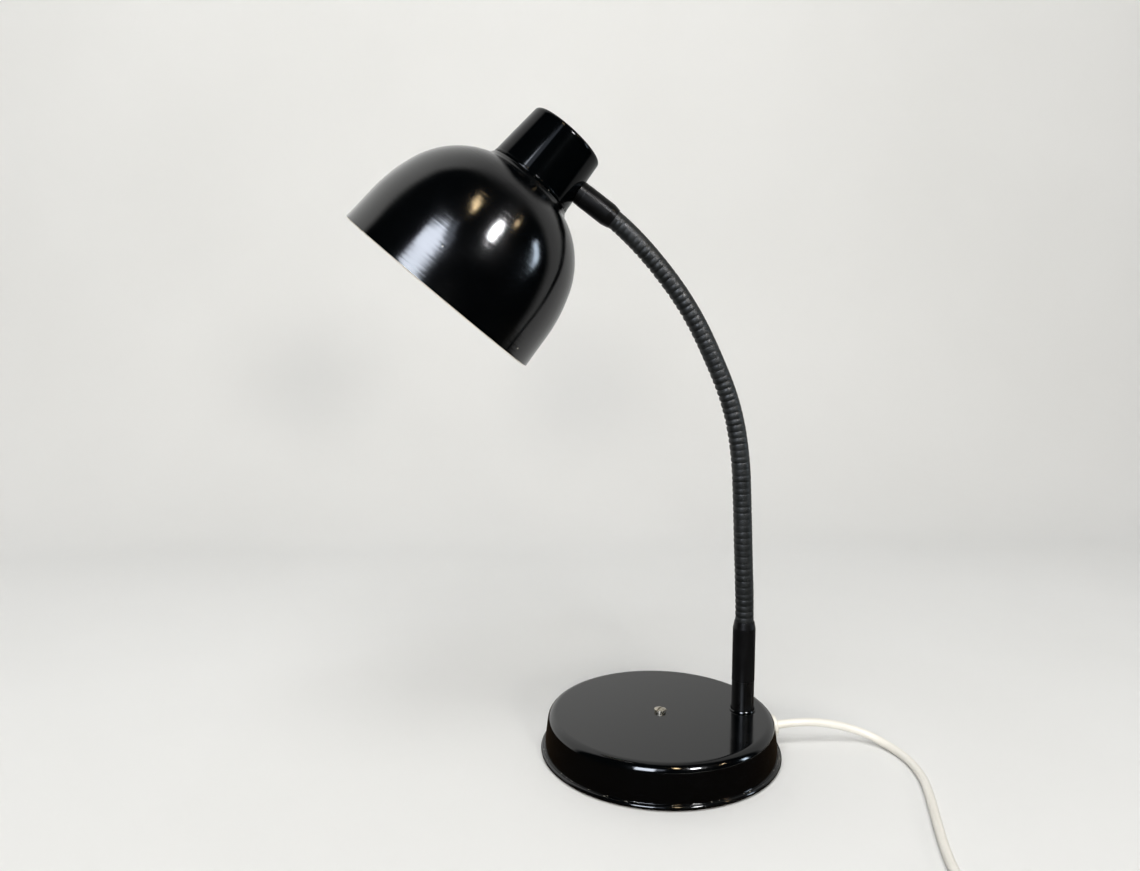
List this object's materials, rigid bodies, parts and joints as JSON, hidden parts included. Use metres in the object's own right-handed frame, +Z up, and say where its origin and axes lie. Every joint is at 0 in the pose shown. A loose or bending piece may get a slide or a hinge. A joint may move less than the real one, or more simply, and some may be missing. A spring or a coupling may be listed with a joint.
{
  "type": "gooseneck desk lamp",
  "caption": "Table lamp with a domed shade on a flexible ribbed arm, a weighted round base and a corded plug.",
  "frame": {"origin": "middle of the felt pad's underside, on the table", "axes": "+Z up, the arm stands at +X and leans over towards -X, the cord leaves at +X"},
  "size_m": [0.3564, 0.3885, 0.4154],
  "materials": {
    "shade_enamel": "gloss black enamel on spun aluminium",
    "base_enamel": "gloss black enamel on pressed steel",
    "black_metal": "semi-gloss black",
    "cast_iron": "rough grey casting",
    "zinc_steel": "zinc plated",
    "nickel": "nickel plated",
    "felt": "black felt",
    "sleeve_black": "satin black soft plastic",
    "hose_black": "satin black plastic skin on a steel hose",
    "holder_black": "black moulded plastic",
    "holder_white": "glazed white insulator",
    "brass": "plain brass",
    "bulb_white": "opal glass",
    "bulb_metal": "thin nickelled cap",
    "solder": "solder",
    "cord_white": "white flexible PVC",
    "plug_white": "white moulded plastic",
    "tie_white": "white strap",
    "block_natural": "natural nylon",
    "core_insulation": "brown and blue PVC insulation"
  },
  "bodies": {
    "base": {"base_cover": "base_enamel", "foot_ferrule": "black_metal", "base_weight": "cast_iron", "base_plate": "zinc_steel", "plate_screws": "zinc_steel", "centre_nut": "zinc_steel", "foot_washer": "zinc_steel", "foot_nut": "zinc_steel", "cord_clamp": "zinc_steel", "clamp_screws": "zinc_steel", "terminal_screws": "zinc_steel", "switch_screws": "zinc_steel", "centre_screw": "nickel", "plug_pins": "nickel", "felt_pad": "felt", "foot_sleeve": "sleeve_black", "gooseneck_link_0": "hose_black", "switch_contacts": "brass", "lead_inside": "cord_white", "lead_lamp_side": "cord_white", "lead_plug_side": "cord_white", "lead_coil": "cord_white", "lead_tail": "cord_white", "cord_grommet": "cord_white", "plug_body": "plug_white", "switch_base": "plug_white", "switch_cover": "plug_white", "coil_tie": "tie_white", "terminal_block": "block_natural", "base_cores": "core_insulation"},
    "rocker": {"switch_rocker": "plug_white"},
    "link_1": {"gooseneck_link_1": "hose_black"},
    "link_2": {"gooseneck_link_2": "hose_black"},
    "link_3": {"gooseneck_link_3": "hose_black"},
    "link_4": {"gooseneck_link_4": "hose_black"},
    "link_5": {"gooseneck_link_5": "hose_black"},
    "link_6": {"gooseneck_link_6": "hose_black"},
    "link_7": {"gooseneck_link_7": "hose_black"},
    "link_8": {"gooseneck_link_8": "hose_black"},
    "head": {"gooseneck_link_9": "hose_black", "head_ferrule": "black_metal", "head_sleeve": "sleeve_black", "head_washer": "zinc_steel", "head_nut": "zinc_steel", "shade": "shade_enamel", "shade_cap": "shade_enamel", "holder_skirt": "holder_black", "holder_dome": "holder_black", "holder_insert": "holder_white", "screw_shell": "brass", "holder_contacts": "brass", "shade_ring": "holder_black", "holder_nipple": "zinc_steel", "holder_bracket": "zinc_steel", "nipple_nut": "zinc_steel", "bulb_glass": "bulb_white", "bulb_cap": "bulb_metal", "bulb_tip": "solder", "holder_cores": "core_insulation"}
  },
  "joints": [
    {"name": "lower_bend_1", "type": "hinge", "parent": "base", "child": "link_1", "pos_m": [0.056, 0, 0.099], "axis": [0, -1, 0], "range_deg": [-14, 14]},
    {"name": "sway_1", "type": "hinge", "parent": "link_1", "child": "link_2", "pos_m": [0.05425, 0, 0.13235], "axis": [0.9986, 0, 0.0523], "range_deg": [-12, 12]},
    {"name": "lower_bend_2", "type": "hinge", "parent": "link_2", "child": "link_3", "pos_m": [0.0528, 0, 0.16572], "axis": [0, -1, 0], "range_deg": [-14, 14]},
    {"name": "lower_bend_3", "type": "hinge", "parent": "link_3", "child": "link_4", "pos_m": [0.05105, 0, 0.19908], "axis": [0, -1, 0], "range_deg": [-14, 14]},
    {"name": "sway_2", "type": "hinge", "parent": "link_4", "child": "link_5", "pos_m": [0.04467, 0, 0.23186], "axis": [0.9816, 0, 0.1908], "range_deg": [-12, 12]},
    {"name": "upper_bend_1", "type": "hinge", "parent": "link_5", "child": "link_6", "pos_m": [0.03189, 0, 0.26272], "axis": [0, -1, 0], "range_deg": [-18, 18]},
    {"name": "upper_bend_2", "type": "hinge", "parent": "link_6", "child": "link_7", "pos_m": [0.01673, 0, 0.29248], "axis": [0, -1, 0], "range_deg": [-18, 18]},
    {"name": "sway_3", "type": "hinge", "parent": "link_7", "child": "link_8", "pos_m": [-0.0029, 0, 0.3195], "axis": [0.809, 0, 0.5878], "range_deg": [-12, 12]},
    {"name": "upper_bend_3", "type": "hinge", "parent": "link_8", "child": "head", "pos_m": [-0.02568, 0, 0.34393], "axis": [0, -1, 0], "range_deg": [-18, 18]},
    {"name": "rocker_turn", "type": "hinge", "parent": "base", "child": "rocker", "pos_m": [0.124, -0.222, 0.0115], "axis": [1, 0, 0], "range_deg": [-16, 0]}
  ],
  "couplings": [
    {"joint": "lower_bend_2", "follows": "lower_bend_1", "ratio": 1},
    {"joint": "lower_bend_3", "follows": "lower_bend_1", "ratio": 1},
    {"joint": "sway_2", "follows": "sway_1", "ratio": 1},
    {"joint": "upper_bend_2", "follows": "upper_bend_1", "ratio": 1},
    {"joint": "sway_3", "follows": "sway_1", "ratio": 1},
    {"joint": "upper_bend_3", "follows": "upper_bend_1", "ratio": 1}
  ]
}
